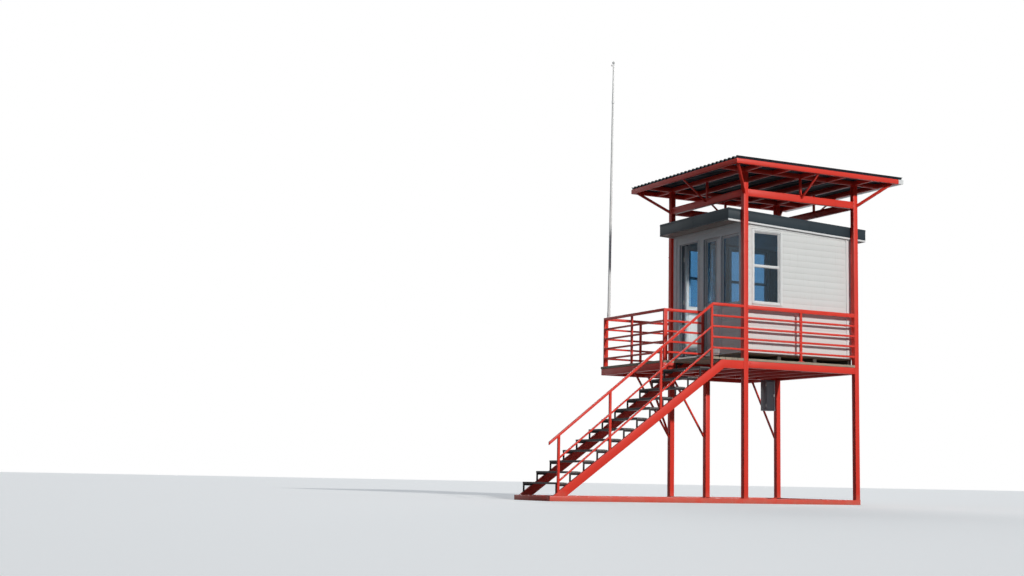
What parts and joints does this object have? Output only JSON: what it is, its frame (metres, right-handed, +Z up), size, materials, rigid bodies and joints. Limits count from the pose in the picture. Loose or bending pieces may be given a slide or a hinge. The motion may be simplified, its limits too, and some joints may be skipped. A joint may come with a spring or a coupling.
{
  "type": "lifeguard tower",
  "caption": "Raised beach lookout on red square posts, with a stair, railed deck, white boarded cabin, flat shade canopy and a slim flag pole.",
  "frame": {"origin": "centre of the near left post's foot, at ground level under its ground beam", "axes": "+X along the near face away from the stair, +Y from the near face to the rear walkway, +Z up"},
  "size_m": [8.15, 4.615, 9.95],
  "materials": {
    "frame_red": "satin paint",
    "deck_wood": "weathered boards",
    "step_dark": "matt",
    "wall_white": "lapped boards",
    "roof_grey": "matt sheet",
    "trim_white": "satin",
    "gutter_white": "semi-gloss",
    "pane": "clear",
    "door_white": "satin paint",
    "fitting_steel": "brushed",
    "pole_white": "gloss",
    "locker_grey": "satin paint",
    "floor_wood": "painted boards"
  },
  "bodies": {
    "tower": {"base_beam_far": "frame_red", "base_beam_near": "frame_red", "base_cross_beams": "frame_red", "base_stair_frame": "frame_red", "cabin_floor": "floor_wood", "cabin_roof": "roof_grey", "cabin_soffit": "trim_white", "canopy_frame": "frame_red", "canopy_gutter": "gutter_white", "canopy_roof": "roof_grey", "canopy_struts": "frame_red", "deck_beams": "frame_red", "deck_floor": "deck_wood", "deck_joists": "frame_red", "door_hinges": "fitting_steel", "far_wall": "wall_white", "front_wall_far": "wall_white", "front_wall_heads": "wall_white", "front_wall_middle": "wall_white", "front_wall_near": "wall_white", "knee_braces": "frame_red", "landing_floor": "deck_wood", "locker": "locker_grey", "near_wall": "wall_white", "pole": "pole_white", "pole_upper": "pole_white", "post_far_left": "frame_red", "post_far_right": "frame_red", "post_left_middle": "frame_red", "post_near_left": "frame_red", "post_near_right": "frame_red", "railing_landing": "frame_red", "railing_near": "frame_red", "railing_stair_side": "frame_red", "railing_terrace": "frame_red", "railing_walkway": "frame_red", "railing_walkway_end": "frame_red", "right_wall": "wall_white", "stair_handrail": "frame_red", "stair_treads": "step_dark", "stringer_far": "frame_red", "stringer_near": "frame_red", "terrace_floor": "deck_wood", "terrace_frame": "frame_red", "upper_beams": "frame_red", "walkway_floor": "deck_wood", "window_frames": "trim_white", "window_panes": "pane"},
    "terrace_door": {"terrace_door": "door_white", "terrace_door_pane": "pane", "terrace_door_fittings": "fitting_steel"},
    "landing_door": {"landing_door": "door_white", "landing_door_pane": "pane", "landing_door_fittings": "fitting_steel"}
  },
  "joints": [
    {"name": "terrace_door_hinge", "type": "hinge", "parent": "tower", "child": "terrace_door", "pos_m": [0.098, 2.396, 3.35], "axis": [0, 0, 1], "range_deg": [-90, 0]},
    {"name": "landing_door_hinge", "type": "hinge", "parent": "tower", "child": "landing_door", "pos_m": [0.098, 0.854, 3.35], "axis": [0, 0, 1], "range_deg": [-90, 0]}
  ]
}
